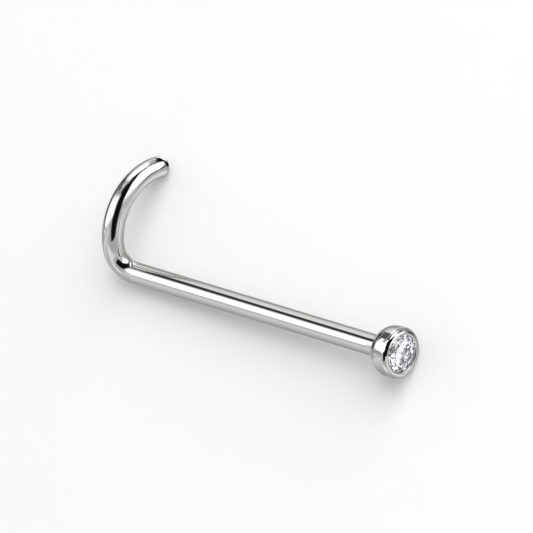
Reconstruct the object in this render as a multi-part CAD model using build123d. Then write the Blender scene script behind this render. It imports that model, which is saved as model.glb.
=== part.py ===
"""A nose screw stud: a hooked wire post, soldered to a bezel cup that holds a round brilliant.

Each solid is drawn in the wire's own axes first: the post runs along +X from the bend, which
starts at the origin, to the cup; the bend climbs along +Z and leans over, and the hook curls on
towards +Y. The stud is then laid down as it comes to rest on a table, on three points: the bend,
the hook's tip and the cup.
"""
import os
from math import acos, asin, atan2, cos, degrees, hypot, radians, sin, sqrt, tan

from build123d import *

# The wire, in millimetres: round 20 gauge.
WIRE_DIAMETER = 0.80
POST_LENGTH = 12.17  # from the bend to the back of the cup
BEND_RADIUS = 0.82  # of the wire's centre line
BEND_RISE = 13.8  # degrees that the wire climbs straight up before it leans over
HOOK_LEAN = 45.7  # degrees from upright at which the bend runs into the hook
HOOK_RADIUS = 2.10  # of the wire's centre line
HOOK_TURN = 108.9  # degrees from there to the rounded tip
HOOK_SLANT = 3.6  # degrees by which the hook leans towards the cup as it curls over

# The bezel cup, turned about the post's axis.
CUP_DIAMETER = 1.88
CUP_LENGTH = 1.04  # back to rim
CUP_BACK_RADIUS = 0.62  # the rounded shoulder behind the stone
RIM_OUTER_RADIUS = 0.19  # the rounded front edge
RIM_INNER_RADIUS = 0.045
OPENING_DIAMETER = 1.38  # inside the burnished lip
LIP_DEPTH = 0.12  # from the rim down to the crown of the stone
PILOT_DIAMETER = 0.90  # the drilled hole under the stone
PILOT_FLOOR = 0.03  # room left under the culet
SOLDER_FILLET = 0.10

# The stone: a round brilliant with 57 facets.
STONE_DIAMETER = 1.50
TABLE_SHARE = 0.57  # of the diameter, corner to corner
CROWN_ANGLE = 34.5
STAR_SHARE = 0.52  # how far a star facet reaches from the table towards the girdle
GIRDLE_SHARE = 0.025  # of the diameter
PAVILION_ANGLE = 40.8
LOWER_HALF_SHARE = 0.78  # how far a lower half facet reaches from the girdle to the culet
MAIN_FACETS = 8
STONE_GAP = 0.025  # between the stone and the metal

wire_radius = WIRE_DIAMETER / 2
cup_radius = CUP_DIAMETER / 2
stone_radius = STONE_DIAMETER / 2
opening_radius = OPENING_DIAMETER / 2
table_radius = TABLE_SHARE * stone_radius
crown_slope = tan(radians(CROWN_ANGLE))
pavilion_slope = tan(radians(PAVILION_ANGLE))

# Stations along the post's axis, measured from the start of the bend.
rim_x = POST_LENGTH + CUP_LENGTH
girdle_top_x = rim_x - LIP_DEPTH - (stone_radius - opening_radius) * crown_slope
girdle_bottom_x = girdle_top_x - GIRDLE_SHARE * STONE_DIAMETER
table_x = girdle_top_x + (stone_radius - table_radius) * crown_slope
culet_x = girdle_bottom_x - stone_radius * pavilion_slope


def rising(angle):
    """The way that the wire runs in the bend's first part, in degrees up from the post's line."""
    return Vector(-cos(radians(angle)), 0, sin(radians(angle)))


def curling(angle):
    """The way that the wire runs in the hook, in degrees over from upright."""
    slant = radians(HOOK_SLANT)
    across = Vector(sin(slant), cos(slant), 0)
    return across * sin(radians(angle)) + Vector(0, 0, cos(radians(angle)))


def turn_wire(start, along, turned, radius):
    """Bends round wire from one direction to another; returns the solid and where it ends."""
    turn_axis = along.cross(turned).normalized()
    centre = start + turn_axis.cross(along) * radius
    section = Plane(origin=start, z_dir=along) * Circle(wire_radius)
    solid = revolve(section, Axis(centre, turn_axis), degrees(acos(along.dot(turned))))
    return solid, centre - turn_axis.cross(turned) * radius


def make_hooked_end():
    """The bend, the hook and the half ball that rounds the tip; also returns the ball's centre."""
    rise, rise_end = turn_wire(Vector(0, 0, 0), rising(0), rising(BEND_RISE), BEND_RADIUS)
    lean, lean_end = turn_wire(rise_end, rising(BEND_RISE), curling(HOOK_LEAN), BEND_RADIUS)
    along_tip = curling(HOOK_LEAN + HOOK_TURN)
    hook, tip_centre = turn_wire(lean_end, curling(HOOK_LEAN), along_tip, HOOK_RADIUS)
    half_ball = Sphere(wire_radius, arc_size1=0, align=(Align.CENTER, Align.CENTER, Align.MIN))
    tip = Plane(origin=tip_centre, z_dir=along_tip) * half_ball
    return rise + lean + hook + tip, tip_centre


def fillet_centre():
    """The centre of the solder's concave round, which touches the post and the cup's shoulder."""
    radius = wire_radius + SOLDER_FILLET
    back = CUP_BACK_RADIUS + SOLDER_FILLET
    x = POST_LENGTH + CUP_BACK_RADIUS - sqrt(back**2 - (radius - cup_radius + CUP_BACK_RADIUS) ** 2)
    return Vector(x, radius)


def make_post():
    length = fillet_centre().X
    return Plane.YZ * Cylinder(wire_radius, length, align=(Align.CENTER, Align.CENTER, Align.MIN))


def point_on(centre, radius, angle):
    return centre + Vector(cos(radians(angle)), sin(radians(angle))) * radius


def arc(centre, radius, start, end):
    """An arc in the profile's plane, with its angles in degrees from the post's axis."""
    points = [point_on(centre, radius, angle) for angle in (start, (start + end) / 2, end)]
    return ThreePointArc(*points)


def cup_profile():
    """Half of the cup's section: distance along the post's axis, then radius."""
    neck = fillet_centre()
    shoulder = Vector(POST_LENGTH + CUP_BACK_RADIUS, cup_radius - CUP_BACK_RADIUS)
    outer = Vector(rim_x - RIM_OUTER_RADIUS, cup_radius - RIM_OUTER_RADIUS)
    inner = Vector(rim_x - RIM_INNER_RADIUS, opening_radius + RIM_INNER_RADIUS)
    meeting = degrees(atan2(neck.Y - shoulder.Y, neck.X - shoulder.X))
    groove_radius = stone_radius + STONE_GAP
    pilot_radius = PILOT_DIAMETER / 2
    crown_gap = STONE_GAP / cos(radians(CROWN_ANGLE))
    seat_gap = STONE_GAP / cos(radians(PAVILION_ANGLE))
    solder = arc(neck, SOLDER_FILLET, 270, meeting + 180)
    back = arc(shoulder, CUP_BACK_RADIUS, meeting, 90)
    rim = arc(outer, RIM_OUTER_RADIUS, 90, 0)
    lip = arc(inner, RIM_INNER_RADIUS, 0, -90)
    hollow = [
        lip @ 1,
        (girdle_top_x + crown_gap + (stone_radius - opening_radius) * crown_slope, opening_radius),
        (girdle_top_x + crown_gap + (stone_radius - groove_radius) * crown_slope, groove_radius),
        (girdle_bottom_x - seat_gap + (groove_radius - stone_radius) * pavilion_slope, groove_radius),
        (girdle_bottom_x - seat_gap - (stone_radius - pilot_radius) * pavilion_slope, pilot_radius),
        (culet_x - PILOT_FLOOR, pilot_radius),
        (culet_x - PILOT_FLOOR, 0),
        (neck.X, 0),
        solder @ 0,
    ]
    outline = [solder, back, Line(back @ 1, rim @ 0), rim, Line(rim @ 1, lip @ 0), lip, Polyline(*hollow)]
    return make_face(Curve() + outline)


def make_cup():
    return revolve(cup_profile(), Axis.X, 360)


def ring_point(x, radius, step):
    """A corner of the stone; a step is half the angle between two main facets."""
    angle = radians(step * 180 / MAIN_FACETS)
    return Vector(x, radius * cos(angle), radius * sin(angle))


def facet(*corners):
    return Face(Wire.make_polygon(corners, close=True))


def make_stone():
    """The brilliant, table forward: 33 crown facets, a faceted girdle and 24 pavilion facets."""
    middle = cos(radians(180 / MAIN_FACETS))
    table_edge = table_radius * middle
    star_radius = table_edge + STAR_SHARE * (stone_radius - table_edge)
    star_x = girdle_top_x + (stone_radius - star_radius * middle) * crown_slope
    lower_radius = stone_radius * (1 - LOWER_HALF_SHARE)
    lower_x = girdle_bottom_x - (stone_radius - lower_radius * middle) * pavilion_slope
    culet = Vector(culet_x, 0, 0)

    def table(step):
        return ring_point(table_x, table_radius, step)

    def star(step):
        return ring_point(star_x, star_radius, step)

    def top(step):
        return ring_point(girdle_top_x, stone_radius, step)

    def bottom(step):
        return ring_point(girdle_bottom_x, stone_radius, step)

    def lower(step):
        return ring_point(lower_x, lower_radius, step)

    facets = [facet(*[table(step) for step in range(0, 2 * MAIN_FACETS, 2)])]
    for main in range(0, 2 * MAIN_FACETS, 2):
        facets += [
            facet(table(main), table(main + 2), star(main + 1)),
            facet(table(main), star(main + 1), top(main), star(main - 1)),
            facet(bottom(main), lower(main + 1), culet, lower(main - 1)),
        ]
        for side in (-1, 1):
            facets += [
                facet(top(main), star(main + side), top(main + side)),
                facet(top(main), top(main + side), bottom(main + side), bottom(main)),
                facet(bottom(main), bottom(main + side), lower(main + side)),
            ]
    return Solid(Shell(facets))


def resting_turns(tip):
    """The stud's pitch and roll in degrees when the bend, the tip and the cup meet the table."""
    touch_x = POST_LENGTH + CUP_BACK_RADIUS
    pitch = asin((cup_radius - wire_radius) / touch_x)
    level = asin(-tip.X * tan(pitch) / hypot(tip.Y, tip.Z))
    roll = level - atan2(tip.Z, tip.Y)
    return degrees(pitch), degrees(roll)


def lay_down(shapes, tip):
    """Turns the stud to its rest, its post along X, and sets the middle of its foot at the origin."""
    pitch, roll = resting_turns(tip)
    laid = [Rot(Y=-pitch) * Rot(X=roll) * shape for shape in shapes]
    box = Compound(laid).bounding_box()
    foot = Pos(-box.center().X, -box.center().Y, -box.min.Z)
    return [foot * shape for shape in laid]


hooked_end, tip_centre = make_hooked_end()
metal = make_cup() + make_post() + hooked_end
hooked_post_and_bezel, stone = lay_down([metal.solid(), make_stone()], tip_centre)

os.makedirs("parts", exist_ok=True)
export_step(hooked_post_and_bezel, "parts/hooked_post_and_bezel.step")
export_step(stone, "parts/stone.step")
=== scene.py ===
# %% [markdown]
# # A nose screw stud in white gold and diamond
# The stud is two things: one piece of metal, which is a hooked wire with a bezel cup soldered to
# its end, and one brilliant-cut stone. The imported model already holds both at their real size, so
# this notebook only has to make the metal as smooth as polished metal is, give both their finish,
# and light them as a jeweller's photographer would.

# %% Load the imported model
from math import asin, atan2, cos, degrees, hypot, pi, radians, sin, sqrt, tan

import bmesh
import bpy
from mathutils import Matrix, Vector


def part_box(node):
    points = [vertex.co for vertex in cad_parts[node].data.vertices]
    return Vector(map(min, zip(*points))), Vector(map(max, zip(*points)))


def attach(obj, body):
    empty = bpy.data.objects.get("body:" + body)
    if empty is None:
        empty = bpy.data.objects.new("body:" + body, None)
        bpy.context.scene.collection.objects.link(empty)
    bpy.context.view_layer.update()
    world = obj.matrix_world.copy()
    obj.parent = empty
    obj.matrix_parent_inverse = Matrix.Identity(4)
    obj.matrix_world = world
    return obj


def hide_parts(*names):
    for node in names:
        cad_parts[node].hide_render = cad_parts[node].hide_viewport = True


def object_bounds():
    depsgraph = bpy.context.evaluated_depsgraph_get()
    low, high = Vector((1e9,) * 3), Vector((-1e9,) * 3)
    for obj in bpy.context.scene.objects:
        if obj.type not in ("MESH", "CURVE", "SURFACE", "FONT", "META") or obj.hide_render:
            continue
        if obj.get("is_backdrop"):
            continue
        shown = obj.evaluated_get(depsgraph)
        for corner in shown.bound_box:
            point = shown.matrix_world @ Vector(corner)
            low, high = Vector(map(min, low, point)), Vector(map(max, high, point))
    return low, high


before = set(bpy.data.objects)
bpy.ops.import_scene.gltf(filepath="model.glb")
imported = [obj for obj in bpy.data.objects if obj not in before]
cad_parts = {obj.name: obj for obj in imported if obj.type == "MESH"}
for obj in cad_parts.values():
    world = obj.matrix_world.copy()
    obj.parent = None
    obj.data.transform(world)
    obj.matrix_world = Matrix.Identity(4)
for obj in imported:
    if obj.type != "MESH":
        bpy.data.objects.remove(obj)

cad_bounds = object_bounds()
metal_low, metal_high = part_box("hooked_post_and_bezel")
stone_low, stone_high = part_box("stone")
print("metal box in mm:", [round(1000 * size, 3) for size in metal_high - metal_low])
print("stone box in mm:", [round(1000 * size, 3) for size in stone_high - stone_low])

# %% [markdown]
# ## The stud's sizes
# A jeweller works from stock sizes: a gauge of wire, a size of stone, and a cup turned to fit that
# stone. Everything below is worked out from them, in metres, in the wire's own axes: the post runs
# along +X from the bend, which starts at the origin. The bend climbs along +Z and leans over, and
# the hook curls on towards +Y.

# %% Wire, cup and stone sizes
MM = 0.001
WIRE_RADIUS = 0.40 * MM
POST_LENGTH = 12.17 * MM
BEND_RADIUS = 0.82 * MM
BEND_RISE = radians(13.8)
HOOK_LEAN = radians(45.7)
HOOK_RADIUS = 2.10 * MM
HOOK_TURN = radians(108.9)
HOOK_SLANT = radians(3.6)

CUP_RADIUS = 0.94 * MM
CUP_LENGTH = 1.04 * MM
CUP_BACK_RADIUS = 0.62 * MM
RIM_OUTER_RADIUS = 0.19 * MM
RIM_INNER_RADIUS = 0.045 * MM
OPENING_RADIUS = 0.69 * MM
LIP_DEPTH = 0.12 * MM
PILOT_RADIUS = 0.45 * MM
PILOT_FLOOR = 0.03 * MM
SOLDER_FILLET = 0.10 * MM

STONE_RADIUS = 0.75 * MM
GIRDLE_HEIGHT = 0.0375 * MM
CROWN_ANGLE = radians(34.5)
PAVILION_ANGLE = radians(40.8)
STONE_GAP = 0.025 * MM

rim_x = POST_LENGTH + CUP_LENGTH
girdle_top_x = rim_x - LIP_DEPTH - (STONE_RADIUS - OPENING_RADIUS) * tan(CROWN_ANGLE)
girdle_bottom_x = girdle_top_x - GIRDLE_HEIGHT
culet_x = girdle_bottom_x - STONE_RADIUS * tan(PAVILION_ANGLE)
for part, place in (("rim", rim_x), ("girdle", girdle_top_x), ("culet", culet_x)):
    print(f"{part} {place / MM:.2f} mm from the bend")

# %% [markdown]
# ## The cup
# The real cup is turned on a lathe, so its section is drawn once and spun about the post's axis.
# A cylinder with bevels would be quicker, but its rounds would all be one size, and polished metal
# shows every wrong curve. The section is drawn like a pen stroke: a vertex is extruded along each
# straight stretch and spun round a centre for each arc, so both are Blender's own operators.

# %% Draw the cup's section
CUP_SIDES = 128
ARC_STEP = radians(6)
SECTION_NORMAL = Vector((0, 0, 1))
MERGE_DISTANCE = 0.0002 * MM


def draw_to(mesh, pen, x, radius, pieces=3):
    """Extrudes the pen's vertex in a straight line, in a few pieces, to keep the shading even."""
    start = pen.co.copy()
    end = Vector((x, radius, 0))
    for piece in range(1, pieces + 1):
        pen = bmesh.ops.extrude_vert_indiv(mesh, verts=[pen])["verts"][0]
        pen.co = start.lerp(end, piece / pieces)
    return pen


def draw_arc(mesh, pen, centre, angle):
    """Spins the pen's vertex about a centre; a positive angle turns from the axis outwards."""
    steps = max(3, round(abs(angle) / ARC_STEP))
    drawn = bmesh.ops.spin(
        mesh, geom=[pen], cent=centre, axis=SECTION_NORMAL, angle=angle, steps=steps
    )
    return next(part for part in drawn["geom_last"] if isinstance(part, bmesh.types.BMVert))


solder_radius = WIRE_RADIUS + SOLDER_FILLET
shoulder = Vector((POST_LENGTH + CUP_BACK_RADIUS, CUP_RADIUS - CUP_BACK_RADIUS, 0))
solder_reach = sqrt((CUP_BACK_RADIUS + SOLDER_FILLET) ** 2 - (solder_radius - shoulder.y) ** 2)
solder = Vector((shoulder.x - solder_reach, solder_radius, 0))
meeting = atan2(solder.y - shoulder.y, solder.x - shoulder.x)
outer_rim = Vector((rim_x - RIM_OUTER_RADIUS, CUP_RADIUS - RIM_OUTER_RADIUS, 0))
inner_rim = Vector((rim_x - RIM_INNER_RADIUS, OPENING_RADIUS + RIM_INNER_RADIUS, 0))
groove_radius = STONE_RADIUS + STONE_GAP
crown_gap = STONE_GAP / cos(CROWN_ANGLE)
seat_gap = STONE_GAP / cos(PAVILION_ANGLE)
lip_end_x = girdle_top_x + crown_gap + (STONE_RADIUS - OPENING_RADIUS) * tan(CROWN_ANGLE)
groove_front_x = girdle_top_x + crown_gap + (STONE_RADIUS - groove_radius) * tan(CROWN_ANGLE)
groove_back_x = girdle_bottom_x - seat_gap + (groove_radius - STONE_RADIUS) * tan(PAVILION_ANGLE)
seat_end_x = girdle_bottom_x - seat_gap - (STONE_RADIUS - PILOT_RADIUS) * tan(PAVILION_ANGLE)
pilot_x = culet_x - PILOT_FLOOR

metal = bmesh.new()
pen = metal.verts.new((solder.x, WIRE_RADIUS, 0))
pen = draw_arc(metal, pen, solder, meeting - pi / 2)
pen = draw_arc(metal, pen, shoulder, pi / 2 - meeting)
pen = draw_to(metal, pen, outer_rim.x, CUP_RADIUS)
pen = draw_arc(metal, pen, outer_rim, -pi / 2)
pen = draw_to(metal, pen, rim_x, inner_rim.y)
pen = draw_arc(metal, pen, inner_rim, -pi / 2)
print(f"front of the cup drawn down to radius {pen.co.y / MM:.3f} mm")

# %% [markdown]
# Behind the lip the cup is hollow: a groove that grips the stone's girdle, a seat cut at the
# pavilion's own slope, and the pilot hole that the setter drilled first. Little of it shows, but
# light that leaves the back of the stone meets it, so it is really there.

# %% Draw the hollow and turn the cup
for x, radius in (
    (lip_end_x, OPENING_RADIUS),
    (groove_front_x, groove_radius),
    (groove_back_x, groove_radius),
    (seat_end_x, PILOT_RADIUS),
    (pilot_x, PILOT_RADIUS),
    (pilot_x, 0),
):
    pen = draw_to(metal, pen, x, radius, pieces=2)

section = metal.verts[:] + metal.edges[:]
bmesh.ops.spin(
    metal,
    geom=section,
    cent=(0, 0, 0),
    axis=(1, 0, 0),
    angle=2 * pi,
    steps=CUP_SIDES,
    use_merge=True,
)
bmesh.ops.remove_doubles(metal, verts=metal.verts, dist=MERGE_DISTANCE)
print("cup:", len(metal.verts), "vertices,", len(metal.faces), "faces")

# %% [markdown]
# ## The wire
# On the real stud a straight wire is soldered in, cut, and bent round a mandrel with pliers. The
# same order works here: the open edge that the solder left is extruded along the post, then spun
# about the bend's centre and about the hook's. A curve with a bevel would do for the wire alone,
# but it would only touch the cup, and here the polished surface runs on without a seam.

# %% Grow the wire out of the solder
POST_RINGS = 48
RISE_STEPS = 8
LEAN_STEPS = 32
HOOK_STEPS = 90
TIP_RINGS = 16


def centre_of(ring):
    """The middle of a ring of edges."""
    corners = {corner for edge in ring for corner in edge.verts}
    return sum((corner.co for corner in corners), Vector()) / len(corners)


def extrude_ring(mesh, ring, shift, scale=1.0):
    """Extrudes a ring of edges, moves the new ring, and scales it about its own middle."""
    grown = bmesh.ops.extrude_edge_only(mesh, edges=ring)["geom"]
    corners = [part for part in grown if isinstance(part, bmesh.types.BMVert)]
    edges = [part for part in grown if isinstance(part, bmesh.types.BMEdge)]
    new_ring = [edge for edge in edges if all(corner in corners for corner in edge.verts)]
    bmesh.ops.translate(mesh, verts=corners, vec=shift)
    middle = centre_of(new_ring)
    bmesh.ops.scale(mesh, verts=corners, vec=(scale,) * 3, space=Matrix.Translation(-middle))
    return new_ring


def bend_ring(mesh, ring, along, turned, radius, steps):
    """Spins a ring of edges from one direction to another, as wire is bent round a mandrel."""
    corners = list({corner for edge in ring for corner in edge.verts})
    axis = along.cross(turned).normalized()
    spun = bmesh.ops.spin(
        mesh,
        geom=corners + ring,
        cent=centre_of(ring) + radius * axis.cross(along),
        axis=axis,
        angle=along.angle(turned),
        steps=steps,
    )
    return [part for part in spun["geom_last"] if isinstance(part, bmesh.types.BMEdge)]


ring = [edge for edge in metal.edges if edge.is_boundary]
print("open edge at the solder:", len(ring), "edges, centre", centre_of(ring) / MM)
for _ in range(POST_RINGS):
    ring = extrude_ring(metal, ring, Vector((-solder.x / POST_RINGS, 0, 0)))
print("post ends at", centre_of(ring) / MM)

upright = Vector((0, 0, 1))
across = Vector((sin(HOOK_SLANT), cos(HOOK_SLANT), 0))
along_post = Vector((-1, 0, 0))
along_rise = along_post * cos(BEND_RISE) + upright * sin(BEND_RISE)
along_hook = across * sin(HOOK_LEAN) + upright * cos(HOOK_LEAN)
along_tip = across * sin(HOOK_LEAN + HOOK_TURN) + upright * cos(HOOK_LEAN + HOOK_TURN)
ring = bend_ring(metal, ring, along_post, along_rise, BEND_RADIUS, RISE_STEPS)
ring = bend_ring(metal, ring, along_rise, along_hook, BEND_RADIUS, LEAN_STEPS)
print("bend ends at", centre_of(ring) / MM)
ring = bend_ring(metal, ring, along_hook, along_tip, HOOK_RADIUS, HOOK_STEPS)
tip_centre = centre_of(ring)
print("hook ends at", tip_centre / MM)

# %% [markdown]
# The tip is filed to a half ball so that it slips through a piercing. A sphere joined on would leave
# a seam, so the last ring is extruded on in steps that follow a quarter circle, and its final hole
# is closed at one point.

# %% Round the tip
before = 0.0
for step in range(1, TIP_RINGS):
    angle = pi / 2 * step / TIP_RINGS
    advance = WIRE_RADIUS * (sin(angle) - sin(before))
    ring = extrude_ring(metal, ring, along_tip * advance, cos(angle) / cos(before))
    before = angle
ring = extrude_ring(metal, ring, along_tip * WIRE_RADIUS * (1 - sin(before)))
pole = list({corner for edge in ring for corner in edge.verts})
bmesh.ops.pointmerge(metal, verts=pole, merge_co=tip_centre + along_tip * WIRE_RADIUS)
bmesh.ops.recalc_face_normals(metal, faces=metal.faces)
print("open edges left:", sum(edge.is_boundary for edge in metal.edges))

# %% [markdown]
# ## Laid on the table
# Set down, the stud rolls until it touches in three places: the bend, the tip and the cup. The
# pitch comes from the cup being wider than the wire, and the roll from the tip meeting the table.
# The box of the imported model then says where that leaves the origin.

# %% Turn the metal to its rest
pitch = asin((CUP_RADIUS - WIRE_RADIUS) / (POST_LENGTH + CUP_BACK_RADIUS))
level = asin(-tip_centre.x * tan(pitch) / hypot(tip_centre.y, tip_centre.z))
roll = level - atan2(tip_centre.z, tip_centre.y)
rest = Matrix.Rotation(-pitch, 4, "Y") @ Matrix.Rotation(roll, 4, "X")
bmesh.ops.transform(metal, matrix=rest, verts=metal.verts)
lowest = Vector([min(corner.co[axis] for corner in metal.verts) for axis in range(3)])
highest = Vector([max(corner.co[axis] for corner in metal.verts) for axis in range(3)])
foot = (metal_low + metal_high) / 2 - (lowest + highest) / 2
foot.z = -lowest.z
bmesh.ops.translate(metal, verts=metal.verts, vec=foot)
print(f"pitch {degrees(pitch):.2f}, roll {degrees(roll):.2f} degrees, foot {foot / MM}")


def finish_piece(name, mesh):
    """Turns a bmesh into a smooth-shaded object of the scene."""
    data = bpy.data.meshes.new(name)
    mesh.to_mesh(data)
    mesh.free()
    data.shade_smooth()
    piece = bpy.data.objects.new(name, data)
    bpy.context.scene.collection.objects.link(piece)
    return piece


polished_metal = finish_piece("polished_metal", metal)
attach(polished_metal, "root")
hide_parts("hooked_post_and_bezel")
print("polished metal:", len(polished_metal.data.polygons), "faces")

# %% [markdown]
# ## The camera
# A long lens stands far back, so that the thin wire doesn't taper with distance. It looks down on
# the table from the stone's end, and it is rolled, so that the hook stands up in the picture.

# %% Place the camera
LENS = 1200
SENSOR_WIDTH = 36
FRAME_WIDTH = 19.04 * MM
VIEW_AZIMUTH = radians(88.70)
VIEW_ELEVATION = radians(50.43)
VIEW_ROLL = radians(-71.52)
AIM = Vector((0.106, -0.100, 1.054)) * MM  # the middle of the picture
NEAREST_SEEN = 0.01
FARTHEST_SEEN = 10

towards_camera = Vector(
    (
        sin(VIEW_AZIMUTH) * cos(VIEW_ELEVATION),
        -cos(VIEW_AZIMUTH) * cos(VIEW_ELEVATION),
        sin(VIEW_ELEVATION),
    )
)
facing = towards_camera.to_track_quat("Z", "Y").to_matrix()
camera_turn = facing @ Matrix.Rotation(VIEW_ROLL, 3, "Z")
camera_data = bpy.data.cameras.new("camera")
camera_data.lens = LENS
camera_data.sensor_width = SENSOR_WIDTH
camera_data.clip_start = NEAREST_SEEN
camera_data.clip_end = FARTHEST_SEEN
camera = bpy.data.objects.new("camera", camera_data)
camera_distance = FRAME_WIDTH * LENS / SENSOR_WIDTH
camera_place = AIM + camera_distance * towards_camera
camera.matrix_world = Matrix.Translation(camera_place) @ camera_turn.to_4x4()
bpy.context.scene.collection.objects.link(camera)
bpy.context.scene.camera = camera
print(f"camera {camera_distance:.3f} m away")

# %% [markdown]
# ## The table and the light
# White gold has no colour of its own to speak of: what the eye reads as polished metal is the room
# in it. So the room is built the way a jeweller's photographer builds it, with a white table, one
# large soft light, and boards hung round the stud for the metal to mirror.

# %% Colours and a small helper for nodes
def linear(hex_colour):
    """Turns an sRGB hex colour into the linear colour that a shader takes."""
    channels = [int(hex_colour[start : start + 2], 16) / 255 for start in (1, 3, 5)]
    return [c / 12.92 if c <= 0.04045 else ((c + 0.055) / 1.055) ** 2.4 for c in channels] + [1.0]


def new_material(name):
    """A material with an empty node tree; returns the material, its nodes' tree and its output."""
    material = bpy.data.materials.new(name)
    material.use_nodes = True
    tree = material.node_tree
    tree.nodes.clear()
    return material, tree, tree.nodes.new("ShaderNodeOutputMaterial")


def add_node(tree, kind, settings=None, **sockets):
    """Adds a node and fills its sockets, each with a value or with another node's output.

    A socket is called by its name, with _ for a space, or by its number after a _.
    """
    node = tree.nodes.new(kind)
    for name, value in (settings or {}).items():
        setattr(node, name, value)
    for name, value in sockets.items():
        numbered = name[1:].isdigit()
        socket = node.inputs[int(name[1:]) if numbered else name.replace("_", " ")]
        if isinstance(value, bpy.types.NodeSocket):
            tree.links.new(value, socket)
        else:
            socket.default_value = value
    return node


# %% A white table
TABLE_SIZE = 1.0
GRAIN_SIZE = 0.8 * MM
LAMINATE_WHITE = "#F0F0F0"
LAMINATE_ROUGHNESS = (0.55, 0.70)
LAMINATE_SHEEN = 0.2
bpy.context.scene.view_settings.view_transform = "Standard"

table_mesh = bmesh.new()
bmesh.ops.create_grid(table_mesh, x_segments=1, y_segments=1, size=TABLE_SIZE / 2)
table = finish_piece("table", table_mesh)
# Matt white laminate: it gives the eye a clean pale ground and soft shadows with no gloss in them.
white_laminate, tree, output = new_material("white_laminate")
place = add_node(tree, "ShaderNodeTexCoord").outputs["Object"]
grain = add_node(tree, "ShaderNodeTexNoise", Vector=place, Scale=1 / GRAIN_SIZE, Detail=2.0)
smoothest, roughest = LAMINATE_ROUGHNESS
gloss = add_node(
    tree, "ShaderNodeMapRange", _0=grain.outputs[0], To_Min=smoothest, To_Max=roughest
)
laminate = add_node(
    tree,
    "ShaderNodeBsdfPrincipled",
    Base_Color=linear(LAMINATE_WHITE),
    Roughness=gloss.outputs[0],
    Specular_IOR_Level=LAMINATE_SHEEN,
)
tree.links.new(laminate.outputs[0], output.inputs["Surface"])
table.data.materials.append(white_laminate)
table.visible_glossy = False
table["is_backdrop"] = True
print("table:", TABLE_SIZE, "m square, not mirrored in the metal")

# %% [markdown]
# The room has no lamps but one, and its walls glow evenly. How bright the walls are is set apart for
# each thing that sees them: the table, the metal, the stone, and the camera where it looks past the
# table's far edge. A photographer does the same with flags and screens. The lamp is a large soft
# box far off to the back left, which throws the soft shadows forward and to the right.

# %% The room's glow and the key light
ROOM_GLOW = 0.573
METAL_GLOW = 0.64
STONE_GLOW = 1.2
FAR_TABLE_GLOW = 1.0
KEY_DISTANCE = 0.50
KEY_SIZE = 0.58
KEY_POWER = 3.0
KEY_DIRECTION = Vector((0.42, 0.66, 0.62)).normalized()

world = bpy.data.worlds.new("studio")
world.use_nodes = True
backdrop = world.node_tree.nodes["Background"]
backdrop.inputs["Color"].default_value = linear("#FFFFFF")
ray = add_node(world.node_tree, "ShaderNodeLightPath")
room_glow = ROOM_GLOW
for kind, seen_glow in (
    ("Is Glossy Ray", METAL_GLOW),
    ("Is Transmission Ray", STONE_GLOW),
    ("Is Camera Ray", FAR_TABLE_GLOW),
):
    chosen = add_node(
        world.node_tree, "ShaderNodeMix", _0=ray.outputs[kind], _2=room_glow, _3=seen_glow
    )
    room_glow = chosen.outputs[0]
world.node_tree.links.new(room_glow, backdrop.inputs["Strength"])
bpy.context.scene.world = world

key_turn = KEY_DIRECTION.to_track_quat("Z", "Y").to_matrix().to_4x4()
key_data = bpy.data.lights.new("key", "AREA")
key_data.shape = "SQUARE"
key_data.size = KEY_SIZE
key_data.energy = KEY_POWER
key = bpy.data.objects.new("key", key_data)
key.matrix_world = Matrix.Translation(KEY_DIRECTION * KEY_DISTANCE) @ key_turn
key.visible_glossy = False
bpy.context.scene.collection.objects.link(key)
print(f"key light {KEY_DISTANCE} m away and {degrees(asin(KEY_DIRECTION.z)):.0f} degrees up")

# %% [markdown]
# ## Boards for the metal to mirror
# A board is a curved panel that only mirrors can see, so it neither shades the table nor gets in the
# way. Each one is laid out as the stud sees it, in degrees right of the lens and above it, because
# on a mirror it is a direction that shows up, and not a place. Its edges fade, as the cloth of a
# softbox does near its frame.

# %% How a board is cut and lit
BOARD_CELLS = 24


def cut_board(name, centre, distance, hung_at, edges):
    """Cuts a piece out of a sphere round `centre`, as a light tent's panel, and hangs it up.

    `hung_at` is how many degrees its middle is right of the lens and above it, and how far it is
    turned. `edges` are its left, right, bottom and top, in degrees from that middle.
    """
    around, above, turned = (radians(angle) for angle in hung_at)
    left, right, bottom, top = (tan(radians(edge)) for edge in edges)
    panel = bmesh.new()
    panel.loops.layers.uv.new("UVMap")
    bmesh.ops.create_grid(
        panel, x_segments=BOARD_CELLS, y_segments=BOARD_CELLS, size=0.5, calc_uvs=True
    )
    bmesh.ops.scale(panel, vec=(right - left, top - bottom, 1), verts=panel.verts)
    middle = Vector(((left + right) / 2, (bottom + top) / 2, 1))
    bmesh.ops.translate(panel, vec=middle, verts=panel.verts)
    for corner in panel.verts:
        corner.co = corner.co.normalized() * distance
    turn = camera_turn @ Matrix.Rotation(around, 3, "Y") @ Matrix.Rotation(-above, 3, "X")
    turn = turn @ Matrix.Rotation(turned, 3, "Z")
    place = Matrix.Translation(centre) @ turn.to_4x4()
    bmesh.ops.transform(panel, matrix=place, verts=panel.verts)
    return finish_piece(name, panel)


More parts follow.
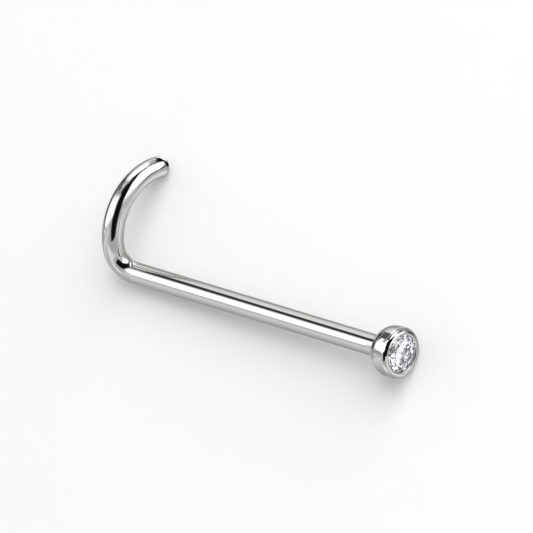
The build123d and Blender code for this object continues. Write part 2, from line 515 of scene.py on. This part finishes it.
def glowing_cloth(name, edges, glow, fades, reach, colour):
    """Lit cloth that fades out over `fades` degrees at each edge, and beyond `reach` metres."""
    left, right, bottom, top = (tan(radians(edge)) for edge in edges)
    left_fade, right_fade, bottom_fade, top_fade = (tan(radians(fade)) for fade in fades)
    from_low_edges = ((right - left) / left_fade, (top - bottom) / bottom_fade, 0)
    from_high_edges = ((right - left) / right_fade, (top - bottom) / top_fade, 0)
    material, tree, output = new_material(name)

    def vector_math(operation, first, second):
        """A node that works on both directions of the cloth at once."""
        settings = {"operation": operation}
        return add_node(tree, "ShaderNodeVectorMath", settings, _0=first, _1=second).outputs[0]

    def number_math(operation, first, second):
        """A node that works on one number, kept from 0 to 1."""
        settings = {"operation": operation, "use_clamp": True}
        return add_node(tree, "ShaderNodeMath", settings, _0=first, _1=second).outputs[0]

    uv = add_node(tree, "ShaderNodeTexCoord").outputs["UV"]
    low = vector_math("MULTIPLY", uv, from_low_edges)
    high = vector_math("MULTIPLY", vector_math("SUBTRACT", (1, 1, 1), uv), from_high_edges)
    nearest = add_node(tree, "ShaderNodeSeparateXYZ", _0=vector_math("MINIMUM", low, high))
    cover = number_math("MINIMUM", nearest.outputs[0], nearest.outputs[1])
    way = add_node(tree, "ShaderNodeLightPath").outputs["Ray Length"]
    cover = number_math("MULTIPLY", cover, number_math("LESS_THAN", way, reach))
    paint = add_node(tree, "ShaderNodeEmission", Color=linear(colour), Strength=glow)
    clear = add_node(tree, "ShaderNodeBsdfTransparent")
    faded = add_node(
        tree, "ShaderNodeMixShader", _0=cover, _1=clear.outputs[0], _2=paint.outputs[0]
    )
    tree.links.new(faded.outputs[0], output.inputs["Surface"])
    return material


def hang_board(name, centre, distance, plan, reach=1000, colour="#FFFFFF"):
    """Hangs one board, as its plan says: where, its edges, how bright, and how its edges fade."""
    hung_at, edges, glow, fades = plan
    board = cut_board(name, centre, distance, hung_at, edges)
    board.data.materials.append(glowing_cloth(name, edges, glow, fades, reach, colour))
    board.visible_camera = False
    board.visible_diffuse = False
    board.visible_shadow = False
    board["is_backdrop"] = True
    return board


print("a board has", BOARD_CELLS**2, "cells")

# %% [markdown]
# Two great softboxes, left and right of the lens, give the white bands. A black column between them
# gives the dark streak that makes metal look hard, and narrow black strips draw the thin lines. The
# rest are plain white cloths, which keep the other sides of the wire pale. They are listed from
# the nearest, because a nearer board hides those behind it.

# %% Boards round the whole stud
# How bright a board is; the room's own walls are about 0.6.
BLACK = 0.01
CHARCOAL = 0.05
SLATE = 0.15
GREY = 0.3
PALE_GREY = 0.55
DULL_WHITE = 0.8
OFF_WHITE = 1.05
WHITE = 1.2
SOFTBOX = 2.2

# How many degrees the left, right, bottom and top edges fade over.
CRISP = (4, 4, 4, 4)
SOFT = (8, 8, 8, 8)
HAZY = (12, 12, 12, 12)

# Where it hangs: degrees right of the lens, above it, and turned. Then its left, right, bottom and
# top edges in degrees from there, how bright it is, and how its edges fade.
BOARDS = {
    # the thin grey line under the post's white band
    "window_line": ((-112, 3, -21), (-27, 30, -6, 0), SLATE, CRISP),
    # the broad white band along the post and up the outer side of the hook
    "left_softbox": ((-75, 0, 4), (-36, 42, -14, 38), SOFTBOX, (20, 5, 16, 15)),
    # the white band up the inner side of the hook
    "right_softbox": ((55, 0, -7), (-39, 17, -10, 56), SOFTBOX, (3, 9, 17, 4)),
    # small marks on the cup, the tip and the bend, which show better from behind
    "floor_grey": ((60, -12, 0), (-30, 30, -5, 5), DULL_WHITE, (8, 8, 4, 4)),
    "right_black": ((106, 25, 0), (-4, 4, -28, 25), BLACK, CRISP),
    "left_dark": ((-135, 20, 0), (-1, 4, -23, 15), GREY, CRISP),
    "tip_light": ((170, 20, 0), (-20, 20, -15, 10), WHITE, SOFT),
    # the black line along the post, over its white band
    "post_line": ((-93, 47, 0), (-12, 9, -9, 10), CHARCOAL, (5, 5, 3, 3)),
    # the thin dark edge on the outer side of the hook
    "left_wing": ((-128, 30, 0), (-14, 10, -25, 20), BLACK, CRISP),
    # the upper end of the black streak
    "column_cap": ((2, 58, 0), (-14, 14, -12, 8), BLACK, CRISP),
    # a grey margin between the left softbox and the column
    "left_surround": ((-85, 0, -4), (-48, 58, -4, 50), PALE_GREY, CRISP),
    # grey beyond the right softbox, and a dark strip high over the lens
    "right_dark": ((108, 0, -1), (-11, 21, -2, 59), PALE_GREY, CRISP),
    "column_top": ((-20, 50, 0), (-35, 50, -3, 3), CHARCOAL, (8, 8, 4, 4)),
    # the black streak up the hook, and the dark patch in the bend
    "column": ((0, 0, 12), (-34, 22, -44, 54), BLACK, CRISP),
    # a grey patch in the bend and at the top of the cup
    "top_dark": ((70, 58, 0), (-60, 60, -8, 11), GREY, CRISP),
    # the pale underside of the post and of the bend
    "lower_left": ((-110, -30, -5), (-75, 60, -17, 19), OFF_WHITE, (25, 25, 23, 10)),
    # the pale inner edge of the hook
    "lower_right": ((100, -25, 3), (-55, 47, -28, 10), WHITE, HAZY),
    # a highlight near the top of the hook, and on the rim of the cup
    "ceiling": ((-60, 80, 0), (-22, 22, -22, 22), SOFTBOX, SOFT),
    # the pale upper edge of the post
    "upper_left": ((-130, 62, -4), (-59, 50, -8, 19), WHITE, (8, 8, 6, 6)),
    # the pale foot of the bend
    "floor_front": ((0, -62, -2), (-53, 30, -34, 5), WHITE, HAZY),
    # white high on the right
    "upper_right": ((120, 72, 1), (-40, 37, 4, 13), WHITE, HAZY),
    # what the far edges of the hook and the cup mirror
    "back_wall": ((175, 20, 0), (-40, 45, -33, 14), OFF_WHITE, HAZY),
}
NEAREST_BOARD = 0.255
BOARD_SPACING = 0.005

for number, (name, plan) in enumerate(BOARDS.items()):
    board = hang_board(name, AIM, NEAREST_BOARD + number * BOARD_SPACING, plan)
    board.visible_transmission = False
print("boards round the stud:", len(BOARDS))

# %% [markdown]
# The tip and the cup are so round that they mirror nearly the whole room at once, so their
# highlights are shaped one by one, with small cards held a few millimetres away. A card has a short
# reach, so the post and the hook don't mirror what is meant for the tip or the cup alone.

# %% Small cards held close to the tip and the cup
CARD_REACH = 1.3  # times a card's distance
TIP_CARDS = {
    # the white side of the tip, the spot at its end, and the black crescent round the spot
    "tip_spot": ((146, 47, 0), (-22, 22, -20, 18), SOFTBOX, CRISP),
    "tip_softbox": ((45, 35, 0), (-20, 28, -38, 20), SOFTBOX, CRISP),
    "tip_flag": ((105, 38, 0), (-18, 44, -34, 38), BLACK, CRISP),
    "tip_arc": ((120, 72, 0), (-12, 24, -7, 6), CHARCOAL, CRISP),
    # a thin line below the white side
    "tip_line": ((70, -2, 48), (-40, 30, -5, 4), CHARCOAL, (4, 4, 2, 2)),
}
CUP_CARDS = {
    # dark marks on the upper and the right side of the rim, and the black line along the lip
    "rim_flag": ((-55, 55, 0), (-23, 19, -8, 19), SLATE, CRISP),
    "smudge_flag": ((100, 15, 0), (-14, 10, -13, 9), CHARCOAL, CRISP),
    "lip_flag": ((20, 0, -2), (-32, 35, -27, 28), BLACK, CRISP),
    "smudge_edge": ((67, 35, 0), (-14, 10, -13, 10), SLATE, CRISP),
    # the bright window in the side of the cup, the line under it, and the bright right side
    "cup_line": ((-70, -12, -25), (-28, 24, -2, 15), PALE_GREY, CRISP),
    "cup_window": ((-85, 25, 0), (5, 14, -22, 22), SOFTBOX, CRISP),
    "cup_light": ((-40, 15, 6), (-37, 38, -24, 22), SOFTBOX, CRISP),
    "cup_right": ((75, 0, 0), (-21, 10, -14, 21), SOFTBOX, CRISP),
}
NEAREST_TIP_CARD = 2.2 * MM
TIP_CARD_SPACING = 0.1 * MM
NEAREST_CUP_CARD = 3.2 * MM
CUP_CARD_SPACING = 0.08 * MM


def hold_cards(centre, nearest, spacing, cards):
    """Holds cards round a small round part, from the nearest on."""
    for number, (name, plan) in enumerate(cards.items()):
        distance = nearest + number * spacing
        card = hang_board(name, centre, distance, plan, reach=CARD_REACH * distance)
        card.visible_transmission = False


cup_centre = Vector((POST_LENGTH + CUP_LENGTH / 2, 0, 0))
hold_cards(rest @ tip_centre + foot, NEAREST_TIP_CARD, TIP_CARD_SPACING, TIP_CARDS)
hold_cards(rest @ cup_centre + foot, NEAREST_CUP_CARD, CUP_CARD_SPACING, CUP_CARDS)
print("cards at the tip:", len(TIP_CARDS), "and at the cup:", len(CUP_CARDS))

# %% [markdown]
# A brilliant throws back the light that falls on its face, and what makes it sparkle is contrast. So
# the stone has a few panels of its own, which the metal doesn't see: a dark one where the lens
# stands, and pale blue and peach ones for the fire, which a real stone makes by splitting white light
# and this renderer doesn't.

# %% Panels for the stone
SHARP = (3, 3, 3, 3)
STONE_PANELS = {
    "peach_panel": ((28, -22, 0), (-7, 7, -10, 10), 1.05, SHARP, "#F3D3BC"),
    "blue_panel": ((26, 26, 0), (-9, 9, -12, 12), 0.85, SHARP, "#6F93EE"),
    "grey_panel": ((-15, 30, 0), (-10, 10, -16, 16), 0.55, SHARP, "#E4E6F4"),
    "sky_panel": ((10, 55, 0), (-25, 25, -12, 12), 1.0, SHARP, "#BECEFB"),
    "dark_by_the_lens": ((5, 0, 0), (-7, 7, -14, 14), 0.03, SHARP, "#FFFFFF"),
}
NEAREST_PANEL = 0.288
PANEL_SPACING = 0.003

for number, (name, (*plan, colour)) in enumerate(STONE_PANELS.items()):
    distance = NEAREST_PANEL + number * PANEL_SPACING
    panel = hang_board(name, AIM, distance, plan, colour=colour)
    panel.visible_glossy = False
print("panels for the stone:", len(STONE_PANELS))

# %% [markdown]
# ## The metal's finish
# White gold is yellow gold whitened with palladium or nickel, then plated with rhodium, which is
# what shows: a neutral grey, a breath warmer than steel. A polished surface isn't quite even. The
# buff leaves it a little duller in places, with a ripple far too fine to feel, and both move a
# highlight's edge by a hair. They are sized here in millimetres, as they would be on the bench.

# %% Polished white gold
BUFFED_PATCH = 0.60 * MM
BUFF_RIPPLE = 0.15 * MM
RIPPLE_HEIGHT = 0.00005 * MM
POLISH_ROUGHNESS = (0.02, 0.05)
DULLER_GOLD = "#C7C5C3"
BRIGHTER_GOLD = "#C9C8C6"
EDGE_GLINT = "#C6C6C6"

# Rhodium-plated white gold: it gives the eye hard, bright, nearly colourless reflections.
polished_gold, tree, output = new_material("polished_white_gold")
place = add_node(tree, "ShaderNodeTexCoord").outputs["Object"]
patches = add_node(tree, "ShaderNodeTexNoise", Vector=place, Scale=1 / BUFFED_PATCH, Detail=3.0)
smoothest, roughest = POLISH_ROUGHNESS
gloss = add_node(
    tree, "ShaderNodeMapRange", _0=patches.outputs[0], To_Min=smoothest, To_Max=roughest
)
tone = add_node(
    tree,
    "ShaderNodeMix",
    {"data_type": "RGBA"},
    _0=patches.outputs[0],
    _6=linear(DULLER_GOLD),
    _7=linear(BRIGHTER_GOLD),
)
ripple = add_node(tree, "ShaderNodeTexNoise", Vector=place, Scale=1 / BUFF_RIPPLE, Detail=2.0)
buffed = add_node(
    tree, "ShaderNodeBump", Strength=1.0, Distance=RIPPLE_HEIGHT, Height=ripple.outputs[0]
)
gold = add_node(
    tree,
    "ShaderNodeBsdfPrincipled",
    Base_Color=tone.outputs[2],
    Metallic=1.0,
    Roughness=gloss.outputs[0],
    Specular_Tint=linear(EDGE_GLINT),
    Normal=buffed.outputs[0],
)
tree.links.new(gold.outputs[0], output.inputs["Surface"])
polished_metal.data.materials.append(polished_gold)
print("metal roughness", POLISH_ROUGHNESS, "in patches of", BUFFED_PATCH / MM, "mm")

# %% [markdown]
# ## The diamond
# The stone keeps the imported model's own facets, flat and sharp, because a brilliant's look is made by
# light that enters through the crown, turns back from the pavilion and leaves again. So the glass
# is given diamond's true index, and enough bounces to find the way out. No diamond is quite empty:
# a faint cloud, grown in with the crystal, greys and blues it by about one part in a hundred.

# %% Brilliant-cut diamond
DIAMOND_INDEX = 2.42
CLOUD_SIZE = 0.35 * MM
CLOUDED = "#FCFDFF"
CLEAR = "#FFFFFF"

# Colourless diamond: it gives the eye sharp white and dark facets that change with every turn.
diamond, tree, output = new_material("brilliant_cut_diamond")
place = add_node(tree, "ShaderNodeTexCoord").outputs["Object"]
clouds = add_node(tree, "ShaderNodeTexNoise", Vector=place, Scale=1 / CLOUD_SIZE, Detail=1.0)
body = add_node(
    tree,
    "ShaderNodeMix",
    {"data_type": "RGBA"},
    _0=clouds.outputs[0],
    _6=linear(CLOUDED),
    _7=linear(CLEAR),
)
glass = add_node(tree, "ShaderNodeBsdfGlass", Color=body.outputs[2], Roughness=0.0, IOR=DIAMOND_INDEX)
tree.links.new(glass.outputs[0], output.inputs["Surface"])
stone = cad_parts["stone"]
for slot in stone.material_slots:
    slot.material = diamond
smooth_faces = sum(face.use_smooth for face in stone.data.polygons)
print("stone:", len(stone.data.polygons), "triangles, of which smooth:", smooth_faces)

# Light turns back many times in the stone, and passes through the faded edges of many boards.
paths = bpy.context.scene.cycles
paths.max_bounces = 24
paths.glossy_bounces = 16
paths.transmission_bounces = 16
paths.transparent_max_bounces = 48

# %% [markdown]
# ## The finished model's box beside the imported model's
# The smooth metal takes the place of the imported one, so the whole must still fill the same box.

# %% Write the sizes and finish
visual_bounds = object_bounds()
for name, (low, high) in (("packed", cad_bounds), ("finished", visual_bounds)):
    print(name, "box in mm:", [round((top - bottom) / MM, 3) for bottom, top in zip(low, high)])
